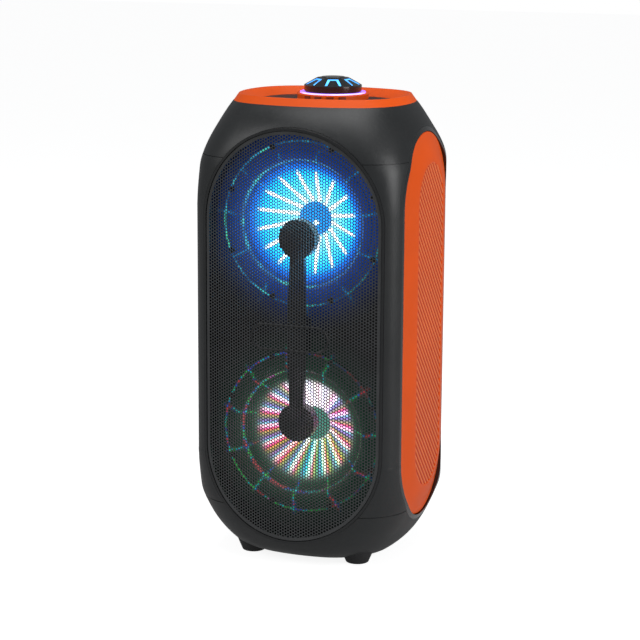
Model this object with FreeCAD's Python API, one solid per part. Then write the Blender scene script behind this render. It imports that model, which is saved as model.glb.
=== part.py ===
import FreeCAD, Part
import os
from math import atan2, cos, degrees, hypot, pi, radians, sin, sqrt

# A free-standing party speaker: rounded cabinet, two woofers behind a tall steel grille, a lit knob on top.
# Millimetres.  The origin is at the centre of the base, on the floor.  +Z is up, -Y is the front.
# Every physical piece is written to its own file in parts/.

V = FreeCAD.Vector
X_AXIS, Y_AXIS, Z_AXIS = V(1, 0, 0), V(0, 1, 0), V(0, 0, 1)

# ---------------------------------------------------------------- driving dimensions
# cabinet
cabinet_width = 276.0
cabinet_depth = 248.0
underside_z = 7.0            # flat underside of the bottom cap
cabinet_top_z = 562.5        # top edge of the cabinet, under the trim ring
wall = 5.0
front_bow_radius = 500.0     # bow of the front face, seen from above
side_bow_radius = 600.0
rear_bow_radius = 1200.0
front_corner_radius = 26.0
rear_corner_radius = 58.0
top_roll_height = 126.5      # height over which the corners close in towards the top
top_side_roll_height = 76.5
top_face_roll_height = 57.5
bottom_roll_height = 129.0
bottom_side_roll_height = 79.0
bottom_face_roll_height = 48.0
corner_growth = 45.0         # how much the corner radius grows towards both ends
base_half_width = 95.0
base_half_depth = 88.0
base_face_radius = 200.0
base_side_radius = 150.0
base_front_corner = 74.0
base_rear_corner = 42.0
loft_steps = 18
seam_low_z = 72.4
seam_high_z = 500.5
seam_groove = 0.8
seam_depth = 1.2
joint_y = 4.0                # plane where front and rear shell meet, under the side panels

# top trim ring and deck
ring_half_width = 110.5
ring_half_depth = 93.0
ring_front_radius = 190.0
ring_side_radius = 140.0
ring_corner_radius = 66.0
ring_height = 8.8
ring_chamfer = 6.5
ring_rim_width = 2.5
deck_inset = 24.0
deck_thickness = 4.0
deck_step = 4.0
deck_ledge = 4.0
ring_seat_inset = 8.0

# knob and pedestal
knob_y = 27.0
pedestal_radius = 44.0
pedestal_height = 7.2
pedestal_bore_radius = 30.0
light_ring_outer = 40.5
light_ring_inner = 36.0
light_ring_height = 2.4
light_ring_seat = 1.0
knob_radius = 35.6
knob_flange_height = 7.8
knob_cone_height = 9.4
knob_cap_radius = 17.0
knob_cap_height = 2.0
knob_facets = 6
facet_turn_deg = 20.0
knob_hub_radius = 8.0
knob_lift = 0.4
channel_depth = 1.0
shaft_radius = 3.0
running_fit = 0.05
key_count = 4
key_pitch_deg = 20.0
key_centre_deg = 5.0
key_width = 8.6
key_height = 3.6
key_depth = 6.0
key_proud = 0.9
key_gap = 0.35

# front grille
grille_half_width = 112.0
grille_straight = 277.6
grille_centre_z = 286.4
grille_thickness = 1.2
grille_frame_width = 3.4
grille_recess = 1.2
grille_gap = 0.3
ledge_thickness = 2.0
ledge_width = 4.0
badge_lift = 2.0
badge_width = 100.0
badge_height = 33.0
badge_line = 2.2
badge_proud = 0.8

# baffle and woofers
baffle_y = -76.0
baffle_thickness = 12.0
baffle_low_gap = 14.0
baffle_top_gap = 6.0
baffle_side_gap = 0.5
front_plate_thickness = 4.0  # frame moulded into the front shell, in front of the baffle
upper_woofer_z = 420.5
lower_woofer_z = 162.5
basket_radius = 102.0
flange_thickness = 3.0
baffle_hole_radius = 87.0
surround_outer = 95.0
cone_radius = 76.0
cone_depth = 50.0
cone_thickness = 1.4
basket_depth = 72.0
basket_floor_radius = 46.0
basket_wall = 2.4
dust_cap_radius = 24.0
coil_radius = 19.5
coil_wall = 0.7
pole_radius = 17.6
plate_bore_radius = 21.2
magnet_radius = 52.0
magnet_thickness = 20.0
yoke_thickness = 6.0
spider_depth = 60.0
spider_outer = 49.3
woofer_screw_count = 8
woofer_screw_circle = 98.5
screw_radius = 2.0
screw_head_radius = 3.4
screw_head_height = 2.0
screw_length = 12.0
small_screw_radius = 1.5
small_screw_length = 7.0
small_head_radius = 2.8
small_head_height = 1.8

# light bridge in front of the woofers
bridge_y = -97.0
bridge_thickness = 6.0
pod_radius = 23.3
pod_depth = 15.0
pod_wall = 2.2
upper_pod_z = 404.5
lower_pod_z = 178.0
stem_pod_width = 17.0
stem_centre_width = 24.0
bridge_post_width = 24.0
bridge_post_height = 40.0
led_board_thickness = 1.6
lens_thickness = 2.4

# side panels
panel_half_width = 86.0
panel_straight = 305.0
panel_centre_z = 291.0
panel_edge_drop = 8.2        # how far the panel's edge lies below the widest point
panel_field_half_width = 50.0
panel_pocket = 12.5          # depth of the flat-floored pocket below the widest point
pocket_floor = 3.0
rim_width = 6.0
panel_gap = 0.5
rim_gap = 0.1                # between the rim and the pocket it is pressed into

# rear fittings
jack_plate_width = 126.0
jack_plate_height = 78.0
jack_plate_z = 130.0
jack_plate_thickness = 2.5
jack_window_margin = 4.0
pad_depth = 7.0
port_z = 330.0
port_radius = 30.0
port_wall = 2.5
port_lip = 8.0
port_length = 95.0
grip_z = 455.0
grip_width = 124.0
grip_height = 46.0
grip_depth = 34.0
grip_wall = 3.0
rocker_width = 13.0
rocker_height = 19.0
rocker_x = 42.0
well_x = 106.0
well_radius = 7.0
well_bore = 4.4

# feet and insides
foot_radius = 14.0
foot_top_radius = 24.0
foot_x = 69.0
foot_y = 63.0
foot_reach = 24.0
battery_size = (150.0, 62.0, 58.0)
battery_y = 32.0
bracket_width = 20.0
bracket_thickness = 3.0
amp_board_size = (118.0, 1.6, 96.0)
amp_board_gap = 26.0
heat_sink_size = (96.0, 22.0, 70.0)
board_size = (150.0, 84.0, 1.6)
board_drop = 16.0

half_width = cabinet_width / 2
half_depth = cabinet_depth / 2
ring_top_z = cabinet_top_z + ring_height
deck_top_z = cabinet_top_z - 0.5
deck_seat_z = deck_top_z - deck_step - deck_thickness
board_top_z = deck_seat_z - board_drop
encoder_top_z = deck_seat_z - 4.0
pedestal_top_z = deck_top_z + pedestal_height
light_ring_top_z = pedestal_top_z - light_ring_seat + light_ring_height
knob_base_z = light_ring_top_z + knob_lift
knob_flange_top_z = knob_base_z + knob_flange_height
knob_top_z = knob_flange_top_z + knob_cone_height


# ---------------------------------------------------------------- shared shapes
def write(name, shape):
    """Write one node; a shape of several pieces stays a compound of separate solids."""
    shape.exportStep("parts/%s.step" % name)


def corner_circle(half_w, half_d, bow_y, bow_x, radius):
    """Centre of the corner circle that touches both bows from inside, in the +X, +Y quarter."""
    far = V(0, half_d - bow_y, 0)
    near = V(half_w - bow_x, 0, 0)
    reach_far, reach_near = bow_y - radius, bow_x - radius
    apart = (near - far).Length
    along = (reach_far ** 2 - reach_near ** 2 + apart ** 2) / (2 * apart)
    across = sqrt(max(reach_far ** 2 - along ** 2, 0.0))
    unit = (near - far).normalize()
    side = V(-unit.y, unit.x, 0)
    options = [far + unit * along + side * across, far + unit * along - side * across]
    return far, near, max(options, key=lambda p: p.x + p.y)


def on_circle(centre, through, radius):
    """The point at the given distance from a centre, on the line from it through a point."""
    return centre + (through - centre).normalize() * radius


def outline(z, half_w, half_d, bows, corners, inset=0.0):
    """Closed section of eight tangent arcs.  bows: front, side, rear; corners: front, rear."""
    half_w, half_d = half_w - inset, half_d - inset
    front, side, rear = [b - inset for b in bows]
    points = {}
    for key, bow, corner in (("front", front, corners[0] - inset), ("rear", rear, corners[1] - inset)):
        far, near, centre = corner_circle(half_w, half_d, bow, side, corner)
        on_face = on_circle(far, centre, bow)
        on_side = on_circle(near, centre, side)
        middle = centre + ((on_face - centre).normalize() + (on_side - centre).normalize()).normalize() * corner
        points[key] = (on_face, middle, on_side)

    def place(p, sx, sy):
        return V(p.x * sx, p.y * sy, z)

    arcs = []
    f, r = points["front"], points["rear"]
    loop = [(place(f[0], -1, -1), V(0, -half_d, z), place(f[0], 1, -1)),
            (place(f[0], 1, -1), place(f[1], 1, -1), place(f[2], 1, -1)),
            (place(f[2], 1, -1), V(half_w, 0, z), place(r[2], 1, 1)),
            (place(r[2], 1, 1), place(r[1], 1, 1), place(r[0], 1, 1)),
            (place(r[0], 1, 1), V(0, half_d, z), place(r[0], -1, 1)),
            (place(r[0], -1, 1), place(r[1], -1, 1), place(r[2], -1, 1)),
            (place(r[2], -1, 1), V(-half_w, 0, z), place(f[2], -1, -1)),
            (place(f[2], -1, -1), place(f[1], -1, -1), place(f[0], -1, -1))]
    for start, mid, end in loop:
        arcs.append(Part.Arc(start, mid, end).toShape())
    return Part.Wire(arcs)


def roll(distance, height, inset):
    """Inset of a face that curves away over a height, as a circular arc that reaches the inset."""
    if distance <= 0:
        return 0.0
    radius = (height ** 2 + inset ** 2) / (2 * inset)
    return radius - sqrt(max(radius ** 2 - min(distance, height) ** 2, 0.0))


def ease(t):
    t = min(max(t, 0.0), 1.0)
    return t * t * (3 - 2 * t)


def blend_bow(start, end, t):
    """Radius part-way between two bows, eased in curvature."""
    return 1 / (1 / start + (1 / end - 1 / start) * t)


def cabinet_section(z, inset):
    """Cabinet outline at one height, narrowed by an inset."""
    up_corner = z - (cabinet_top_z - top_roll_height)
    down_corner = underside_z + bottom_roll_height - z
    up_side = z - (cabinet_top_z - top_side_roll_height)
    down_side = underside_z + bottom_side_roll_height - z
    up_face = z - (cabinet_top_z - top_face_roll_height)
    down_face = underside_z + bottom_face_roll_height - z
    half_w = half_width - roll(up_side, top_side_roll_height, half_width - ring_half_width) \
        - roll(down_side, bottom_side_roll_height, half_width - base_half_width)
    half_d = half_depth - roll(up_face, top_face_roll_height, half_depth - ring_half_depth) \
        - roll(down_face, bottom_face_roll_height, half_depth - base_half_depth)
    grow = ease(up_corner / 100.0) + ease(down_corner / 100.0)
    high = ease(up_side / top_side_roll_height)
    squeeze = high + ease(down_side / bottom_side_roll_height)
    face_end = ring_front_radius if high > 0 else base_face_radius
    side_end = ring_side_radius if high > 0 else base_side_radius
    bows = [blend_bow(front_bow_radius, face_end, squeeze), blend_bow(side_bow_radius, side_end, squeeze),
            blend_bow(rear_bow_radius, face_end, squeeze)]
    front_end, rear_end = (ring_corner_radius, ring_corner_radius) if high > 0 \
        else (base_front_corner, base_rear_corner)
    corners = [front_corner_radius + corner_growth * grow * (1 - squeeze)
               + (front_end - front_corner_radius) * squeeze,
               rear_corner_radius + (rear_end - rear_corner_radius) * squeeze]
    return outline(z, half_w, half_d, bows, corners, inset)


def cabinet_solid(inset, low, high):
    """Rounded cabinet body: a straight middle with a smooth loft above and below it."""
    bottom_end = underside_z + bottom_roll_height
    top_start = cabinet_top_z - top_roll_height
    middle = Part.Face(cabinet_section(bottom_end, inset)).extrude(V(0, 0, top_start - bottom_end))
    return middle.fuse(end_loft(low, bottom_end, inset)).fuse(end_loft(top_start, high, inset))


def end_loft(low, high, inset):
    wires = [cabinet_section(low + (high - low) * i / loft_steps, inset) for i in range(loft_steps + 1)]
    return Part.makeLoft(wires, True, False, False, 3)


def ring_outline(z, inset):
    bows = (ring_front_radius, ring_side_radius, ring_front_radius)
    return outline(z, ring_half_width, ring_half_depth, bows, (ring_corner_radius, ring_corner_radius), inset)


def ring_prism(low, high, low_inset, high_inset=None):
    """Solid between two ring outlines; a straight prism when the insets are the same."""
    if high_inset is None or high_inset == low_inset:
        return Part.Face(ring_outline(low, low_inset)).extrude(V(0, 0, high - low))
    return Part.makeLoft([ring_outline(low, low_inset), ring_outline(high, high_inset)], True, True)


def stadium_wire(half_w, straight, place, centre_z, axis):
    """Upright stadium outline in the plane that crosses X or Y at a place."""
    half_s = straight / 2

    def at(across, z):
        return V(place, across, z) if axis == "x" else V(across, place, z)

    top, low = centre_z + half_s, centre_z - half_s
    edges = [Part.makeLine(at(-half_w, low), at(-half_w, top)),
             Part.Arc(at(-half_w, top), at(0, top + half_w), at(half_w, top)).toShape(),
             Part.makeLine(at(half_w, top), at(half_w, low)),
             Part.Arc(at(half_w, low), at(0, low - half_w), at(-half_w, low)).toShape()]
    return Part.Wire(edges)


def stadium(half_w, straight, start, end, centre_z, axis):
    """Upright stadium prism along X or Y between two planes."""
    direction = X_AXIS if axis == "x" else Y_AXIS
    return Part.Face(stadium_wire(half_w, straight, start, centre_z, axis)).extrude(direction * (end - start))


def pill(width, height, start, end, centre_z):
    """Flat-lying stadium prism along Y."""
    body = stadium(height / 2, width - height, start, end, 0, "y")
    body.rotate(V(0, 0, 0), Y_AXIS, 90)
    body.translate(V(0, 0, centre_z))
    return body


def box(low, high):
    return Part.makeBox(high[0] - low[0], high[1] - low[1], high[2] - low[2], V(*low))


def rod(radius, start, end, axis=Z_AXIS):
    """Cylinder from a start point along an axis for a length given by the end coordinate."""
    length = (V(*end) - V(*start)).Length
    return Part.makeCylinder(radius, length, V(*start), V(*end) - V(*start))


def revolved(profile, centre_z):
    """Turn a closed profile of (radius, depth) points about the woofer axis, which runs along +Y."""
    points = [V(r, baffle_y + s, centre_z) for r, s in profile]
    return Part.Face(Part.makePolygon(points + points[:1])).revolve(V(0, 0, centre_z), Y_AXIS, 360)


def around(count, start_deg=0.0):
    return [start_deg + 360.0 * i / count for i in range(count)]


def bow_sheet(front, back, low, high):
    """Upright bowed sheet between two depths behind the grille's front face, all on one axis."""
    axis_y = -half_depth + grille_recess + front_bow_radius
    outer = Part.makeCylinder(front_bow_radius - front, high - low, V(0, axis_y, low))
    inner = Part.makeCylinder(front_bow_radius - back, high - low, V(0, axis_y, low))
    slab = box((-half_width, -half_depth - 5, low), (half_width, 0, high))
    return outer.cut(inner).common(slab)


# ---------------------------------------------------------------- cabinet
def grille_opening():
    return stadium(grille_half_width + grille_frame_width, grille_straight,
                   -half_depth - 5, baffle_y, grille_centre_z, "y")


def panel_prisms(half_w, depth, end=-10.0):
    """Stadium prisms on the right and the left, between two depths below the widest point."""
    inner, outer = half_width - depth, half_width - end
    right = stadium(half_w, panel_straight, inner, outer, panel_centre_z, "x")
    left = stadium(half_w, panel_straight, -outer, -inner, panel_centre_z, "x")
    return right, left


def seam_ring(z):
    """Shallow groove round the whole cabinet at one height."""
    band = Part.Face(cabinet_section(z, -2 * seam_depth)).cut(Part.Face(cabinet_section(z, seam_depth)))
    groove = band.extrude(V(0, 0, seam_groove))
    groove.translate(V(0, 0, -seam_groove / 2))
    return groove


def boss_places():
    return [(side * well_x, z) for side in (-1, 1) for z in (seam_low_z + 30, grille_centre_z, seam_high_z - 30)]


def front_boss(x, z):
    post = rod(well_radius, (x, joint_y - 30, z), (x, joint_y, z))
    reach = (half_width - panel_pocket - pocket_floor + 1) * (1 if x > 0 else -1)
    rib = box((min(x, reach), joint_y - 30, z - 1.5), (max(x, reach), joint_y, z + 1.5))
    hole = rod(screw_radius, (x, joint_y - 26, z), (x, joint_y, z))
    return post.fuse(rib), hole


def rear_well(x, z):
    post = rod(well_radius, (x, joint_y, z), (x, half_depth, z))
    reach = (half_width - panel_pocket - pocket_floor + 1) * (1 if x > 0 else -1)
    rib = box((min(x, reach), joint_y, z - 1.5), (max(x, reach), joint_y + 30, z + 1.5))
    bore = rod(well_bore, (x, joint_y + 10, z), (x, half_depth + 5, z))
    hole = rod(screw_radius + running_fit, (x, joint_y, z), (x, joint_y + 10, z))
    return post.fuse(rib), bore.fuse(hole)


def cabinet_shells():
    """The four casing pieces, and the two solids that other pieces are trimmed with."""
    outer = cabinet_solid(0, underside_z, cabinet_top_z)
    cavity = cabinet_solid(wall, underside_z + wall, deck_seat_z - deck_ledge)

    casing = outer.cut(cavity)
    casing = casing.cut(ring_prism(deck_seat_z, ring_top_z, ring_seat_inset - 0.4))
    casing = casing.cut(ring_prism(deck_seat_z - deck_ledge - 1, deck_seat_z, deck_inset + 4))
    casing = casing.cut(grille_opening())
    reach = panel_half_width + rim_width
    for cup in panel_prisms(reach + wall, panel_pocket + pocket_floor):
        casing = casing.fuse(cup.common(outer))
    for pocket in panel_prisms(reach, panel_pocket):
        casing = casing.cut(pocket)
    for z in (seam_low_z, seam_high_z):
        casing = casing.cut(seam_ring(z))

    plate_side = half_width - panel_pocket - pocket_floor
    plate = box((-plate_side, baffle_y - front_plate_thickness, underside_z + wall + baffle_low_gap),
                (plate_side, baffle_y, deck_seat_z - deck_ledge - baffle_top_gap))
    plate = plate.common(cavity).cut(grille_opening())

    far = half_width + 20
    top = casing.common(box((-far, -far, seam_high_z), (far, far, ring_top_z)))
    bottom = casing.common(box((-far, -far, 0), (far, far, seam_low_z)))
    front = casing.common(box((-far, -far, seam_low_z), (far, joint_y, seam_high_z)))
    rear = casing.common(box((-far, joint_y, seam_low_z), (far, far, seam_high_z)))

    front = front.fuse(plate)
    for x, z in boss_places():
        post, hole = front_boss(x, z)
        front = front.fuse(post).cut(hole)
        post, hole = rear_well(x, z)
        rear = rear.fuse(post.common(outer)).cut(hole)

    pad_y = half_depth - pad_depth
    pad = box((-jack_plate_width / 2 - 4, pad_y, jack_plate_z - jack_plate_height / 2 - 4),
              (jack_plate_width / 2 + 4, half_depth, jack_plate_z + jack_plate_height / 2 + 4))
    rear = rear.fuse(pad.common(outer))
    rear = rear.cut(box((-jack_plate_width / 2 + jack_window_margin, 0,
                         jack_plate_z - jack_plate_height / 2 + jack_window_margin),
                        (jack_plate_width / 2 - jack_window_margin, half_depth + 5,
                         jack_plate_z + jack_plate_height / 2 - jack_window_margin)))
    for x, z in jack_screw_places():
        rear = rear.cut(rod(small_screw_radius, (x, pad_y, z), (x, pad_y + 5, z)))
    rear = rear.cut(rod(port_radius + port_wall, (0, 0, port_z), (0, half_depth + 5, port_z)))
    rear = rear.cut(rod(port_radius + port_lip + 0.3, (0, half_depth - 2.2, port_z), (0, half_depth + 5, port_z)))
    rear = rear.cut(box((-grip_width / 2, 0, grip_z - grip_height / 2),
                        (grip_width / 2, half_depth + 5, grip_z + grip_height / 2)))
    return outer, cavity, {"top_cap": top, "front_shell": front,
                                  "rear_shell": rear, "bottom_cap": bottom}


def side_panel(side):
    """Coloured panel with a wide chamfer that rises to a flat stadium field; side is 1 right, -1 left."""
    back, edge, face = [side * (half_width - d) for d in (panel_pocket, panel_edge_drop, 0.0)]
    body = stadium(panel_half_width, panel_straight, back, edge, panel_centre_z, "x")
    rise = Part.makeLoft([stadium_wire(panel_half_width, panel_straight, edge, panel_centre_z, "x"),
                          stadium_wire(panel_field_half_width, panel_straight, face, panel_centre_z, "x")], True, True)
    return body.fuse(rise).removeSplitter()


def panel_rims(outer):
    """Black rims round the panels, flat behind and following the cabinet in front."""
    bands = zip(panel_prisms(panel_half_width + rim_width - rim_gap, panel_pocket),
                panel_prisms(panel_half_width + panel_gap, panel_pocket))
    return [outer.common(outside.cut(inside)) for outside, inside in bands]


def shell_screws():
    solids = []
    for x, z in boss_places():
        seat = joint_y + 10
        shank = rod(screw_radius, (x, joint_y - 20, z), (x, seat, z))
        head = rod(screw_head_radius, (x, seat, z), (x, seat + screw_head_height, z))
        solids.append(shank.fuse(head))
    return Part.makeCompound(solids)


# ---------------------------------------------------------------- top
def top_trim_ring():
    rim = ring_chamfer
    body = ring_prism(cabinet_top_z, ring_top_z, 0.3, rim)
    skirt = ring_prism(deck_top_z - deck_step, cabinet_top_z, ring_seat_inset)
    bore = ring_prism(deck_top_z, ring_top_z, deck_inset, rim + ring_rim_width)
    lower_bore = ring_prism(deck_top_z - deck_step - 1, deck_top_z, deck_inset)
    seat = rod(pedestal_radius + key_gap, (0, knob_y, deck_top_z - deck_step - 1), (0, knob_y, ring_top_z + 1))
    return body.fuse(skirt).cut(bore.fuse(lower_bore)).cut(seat)


def control_deck():
    flange = ring_prism(deck_seat_z, deck_top_z - deck_step, ring_seat_inset)
    plateau = ring_prism(deck_top_z - deck_step, deck_top_z, deck_inset + 0.3)
    deck = flange.fuse(plateau)
    for x, y in board_posts():
        deck = deck.fuse(rod(4.0, (x, y, board_top_z), (x, y, deck_seat_z)))
        deck = deck.cut(rod(small_screw_radius, (x, y, board_top_z), (x, y, board_top_z + small_screw_length)))
    return deck.cut(rod(knob_hub_radius + 2, (0, knob_y, deck_seat_z - 1), (0, knob_y, ring_top_z)))


def board_posts():
    length, width, _ = board_size
    return [(sx * (length / 2 - 6), sy * (width / 2 - 6)) for sx in (-1, 1) for sy in (-1, 1)]


def control_board():
    length, width, thickness = board_size
    board = box((-length / 2, -width / 2, board_top_z - thickness), (length / 2, width / 2, board_top_z))
    for x, y in board_posts():
        board = board.cut(rod(small_screw_radius, (x, y, board_top_z - thickness - 1), (x, y, board_top_z + 1)))
    return board


def small_screw(x, y, z, direction):
    """Self-tapping screw: its head's inner face is at the given point, the shank runs along the direction."""
    place = V(x, y, z)
    shank = Part.makeCylinder(small_screw_radius, small_screw_length, place, direction)
    return shank.fuse(Part.makeCylinder(small_head_radius, small_head_height, place, direction * -1))


def board_screws():
    return [small_screw(x, y, board_top_z - board_size[2], Z_AXIS) for x, y in board_posts()]


def key_angle(index):
    """Direction of a key from the knob axis, in degrees from +X."""
    return -90.0 + key_centre_deg + key_pitch_deg * (index - (key_count - 1) / 2.0)


def key_block(index, gap, outer_radius, depth):
    """Block on the pedestal's front wall that is curved on its outer face."""
    low = deck_top_z + 1.4 - gap
    high = low + key_height + 2 * gap
    block = box((outer_radius - depth, -key_width / 2 - gap, low), (outer_radius + 5, key_width / 2 + gap, high))
    block = block.common(Part.makeCylinder(outer_radius, 60, V(0, 0, low - 10)))
    block.rotate(V(0, 0, 0), Z_AXIS, key_angle(index))
    block.translate(V(0, knob_y, 0))
    return block


def pedestal_keys():
    return [key_block(i, 0.0, pedestal_radius + key_proud, key_depth) for i in range(key_count)]


def knob_pedestal():
    def cyl(radius, low, high):
        return rod(radius, (0, knob_y, low), (0, knob_y, high))

    body = cyl(pedestal_radius, deck_top_z, pedestal_top_z).cut(cyl(pedestal_bore_radius, deck_top_z, pedestal_top_z))
    rim = [e for e in body.Edges if abs(e.BoundBox.ZMin - pedestal_top_z) < 0.01
           and abs(e.BoundBox.XLength - 2 * pedestal_radius) < 0.1]
    body = body.makeFillet(1.6, rim)
    groove = cyl(light_ring_outer, pedestal_top_z - light_ring_seat, pedestal_top_z + 1)
    groove = groove.cut(cyl(light_ring_inner, pedestal_top_z - light_ring_seat, pedestal_top_z + 1))
    body = body.cut(groove)
    for i in range(key_count):
        body = body.cut(key_block(i, key_gap, pedestal_radius + 2, key_depth + 4))
    return body


def knob_light_ring():
    low = pedestal_top_z - light_ring_seat
    ring = rod(light_ring_outer, (0, knob_y, low), (0, knob_y, light_ring_top_z))
    return ring.cut(rod(light_ring_inner, (0, knob_y, low), (0, knob_y, light_ring_top_z)))


def knob_facet_channel(index, depth):
    """Inverted-U light channel that lies on one sloping facet, as a thin bent strip."""
    slope = atan2(knob_cone_height, knob_radius - knob_cap_radius)
    length = hypot(knob_cone_height, knob_radius - knob_cap_radius)
    lift_low, lift_high, line = 0.12 * length, 0.82 * length, 2.6
    low_half, high_half = 10.0, 6.4
    outer = [V(-low_half, lift_low, 0), V(-high_half, lift_high, 0), V(high_half, lift_high, 0),
             V(low_half, lift_low, 0)]
    inner = [V(low_half - line * 1.05, lift_low, 0), V(high_half - line, lift_high - line, 0),
             V(-high_half + line, lift_high - line, 0), V(-low_half + line * 1.05, lift_low, 0)]
    strip = Part.Face(Part.makePolygon(outer + inner + outer[:1])).extrude(V(0, 0, depth + 1))
    strip.translate(V(0, 0, -depth))
    strip.rotate(V(0, 0, 0), X_AXIS, degrees(slope))
    strip.translate(V(0, -facet_apothem(), knob_flange_top_z))
    strip.rotate(V(0, 0, 0), Z_AXIS, 360.0 / knob_facets * index + facet_turn_deg)
    strip.translate(V(0, knob_y, 0))
    return strip


def facet_apothem():
    return knob_radius * 0.975


def knob_blank():
    """Round flange below, a cone cut by six flat facets above."""
    flange = rod(knob_radius, (0, knob_y, knob_base_z), (0, knob_y, knob_flange_top_z))
    cone = Part.makeCone(knob_radius, knob_cap_radius + 2.0, knob_cone_height, V(0, knob_y, knob_flange_top_z))
    corner = 1 / cos(pi / knob_facets)

    def polygon(apothem, z):
        turn = radians(facet_turn_deg - 90.0) + pi / knob_facets
        points = [V(apothem * corner * cos(turn + 2 * pi * i / knob_facets),
                    knob_y + apothem * corner * sin(turn + 2 * pi * i / knob_facets), z) for i in range(knob_facets)]
        return Part.makePolygon(points + points[:1])

    drop = knob_radius - knob_cap_radius
    pyramid = Part.makeLoft([polygon(facet_apothem(), knob_flange_top_z),
                             polygon(facet_apothem() - drop, knob_top_z)], True, True)
    return flange.fuse(cone.common(pyramid))


def knob_pieces():
    blank = knob_blank()
    cap_seat = rod(knob_cap_radius - 2.5, (0, knob_y, knob_top_z - knob_cap_height), (0, knob_y, knob_top_z + 2))
    channels, cutters = [], []
    for i in range(knob_facets):
        cutter = knob_facet_channel(i, channel_depth)
        cutters.append(cutter)
        channels.append(cutter.common(blank))
    body = blank
    for cutter in cutters:
        body = body.cut(cutter)
    body = body.cut(cap_seat)
    hollow = rod(knob_radius - 3, (0, knob_y, knob_base_z), (0, knob_y, knob_flange_top_z - 2))
    hub = rod(knob_hub_radius, (0, knob_y, knob_base_z), (0, knob_y, knob_flange_top_z - 2))
    body = body.cut(hollow.cut(hub)).cut(rod(shaft_radius, (0, knob_y, knob_base_z), (0, knob_y, knob_flange_top_z)))
    cap = rod(knob_cap_radius - 2.5, (0, knob_y, knob_top_z - knob_cap_height), (0, knob_y, knob_top_z + 0.6))
    rim = [e for e in cap.Edges if abs(e.BoundBox.ZMin - knob_top_z - 0.6) < 0.01]
    return body, cap.makeFillet(0.5, rim), Part.makeCompound(channels)


def encoder_pieces():
    """Rotary encoder under the deck: a fixed housing with its bush, and the turning shaft."""
    housing = box((-8, knob_y - 7, board_top_z), (8, knob_y + 7, board_top_z + 7))
    bush = rod(5.0, (0, knob_y, board_top_z + 7), (0, knob_y, deck_seat_z))
    bore = rod(shaft_radius + running_fit, (0, knob_y, board_top_z + 2), (0, knob_y, ring_top_z))
    shaft = rod(shaft_radius, (0, knob_y, board_top_z + 2 + key_gap), (0, knob_y, knob_flange_top_z))
    return housing.fuse(bush).cut(bore), shaft


# ---------------------------------------------------------------- front grille
def front_grille():
    low = grille_centre_z - grille_straight / 2 - grille_half_width - 1
    high = grille_centre_z + grille_straight / 2 + grille_half_width + 1
    sheet = bow_sheet(0.0, grille_thickness, low, high)
    sheet = sheet.common(stadium(grille_half_width - grille_gap, grille_straight, -half_depth - 5, 0,
                                 grille_centre_z, "y"))
    line = pill(badge_width, badge_height, -half_depth - 5, 0, grille_centre_z + badge_lift)
    line = line.cut(pill(badge_width - 2 * badge_line, badge_height - 2 * badge_line, -half_depth - 5, 0,
                         grille_centre_z + badge_lift))
    ridge = bow_sheet(-badge_proud, grille_thickness / 2, low, high).common(line)
    return sheet.fuse(ridge)


def grille_frame():
    """Deep frame that lines the opening and carries the grille, bowed like the grille in front."""
    outer_half = grille_half_width + grille_frame_width - grille_gap
    low = grille_centre_z - grille_straight / 2 - grille_half_width - 2 * grille_frame_width
    high = grille_centre_z + grille_straight / 2 + grille_half_width + 2 * grille_frame_width

    def tunnel(half_w):
        return stadium(half_w, grille_straight, -half_depth - 5, baffle_y, grille_centre_z, "y")

    tube = tunnel(outer_half).cut(tunnel(grille_half_width))
    tube = tube.common(Part.makeCylinder(front_bow_radius, high - low, V(0, -half_depth + front_bow_radius, low)))
    ledge = bow_sheet(grille_thickness, grille_thickness + ledge_thickness, low, high)
    ledge = ledge.common(tunnel(outer_half).cut(tunnel(grille_half_width - ledge_width)))
    return tube.fuse(ledge)


# ---------------------------------------------------------------- light bridge
def light_bridge():
    back = bridge_y + bridge_thickness
    body = None
    for pod_z, sign in ((upper_pod_z, 1), (lower_pod_z, -1)):
        points = [V(-stem_centre_width / 2, bridge_y, grille_centre_z), V(stem_centre_width / 2, bridge_y, grille_centre_z),
                  V(stem_pod_width / 2, bridge_y, pod_z), V(-stem_pod_width / 2, bridge_y, pod_z)]
        stem = Part.Face(Part.makePolygon(points + points[:1])).extrude(V(0, bridge_thickness, 0))
        pod = rod(pod_radius, (0, bridge_y, pod_z), (0, bridge_y + pod_depth, pod_z))
        piece = stem.fuse(pod)
        piece = piece.cut(rod(pod_radius - pod_wall, (0, bridge_y + 3, pod_z), (0, bridge_y + pod_depth, pod_z)))
        body = piece if body is None else body.fuse(piece)
    post = box((-bridge_post_width / 2, bridge_y, grille_centre_z - bridge_post_height / 2),
               (bridge_post_width / 2, baffle_y, grille_centre_z + bridge_post_height / 2))
    return body.fuse(post)


def led_board(pod_z):
    return rod(pod_radius - pod_wall, (0, bridge_y + 3, pod_z), (0, bridge_y + 3 + led_board_thickness, pod_z))


def led_lens(pod_z):
    end = bridge_y + pod_depth
    start = bridge_y + 3 + led_board_thickness
    cup = rod(pod_radius - pod_wall, (0, start, pod_z), (0, end, pod_z))
    return cup.cut(rod(pod_radius - pod_wall - 2, (0, start, pod_z), (0, end - lens_thickness, pod_z)))


# ---------------------------------------------------------------- baffle and woofers
def screw_circle(centre_z):
    points = []
    for angle in around(woofer_screw_count, 22.5):
        points.append((woofer_screw_circle * cos(radians(angle)), centre_z + woofer_screw_circle * sin(radians(angle))))
    return points


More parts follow.
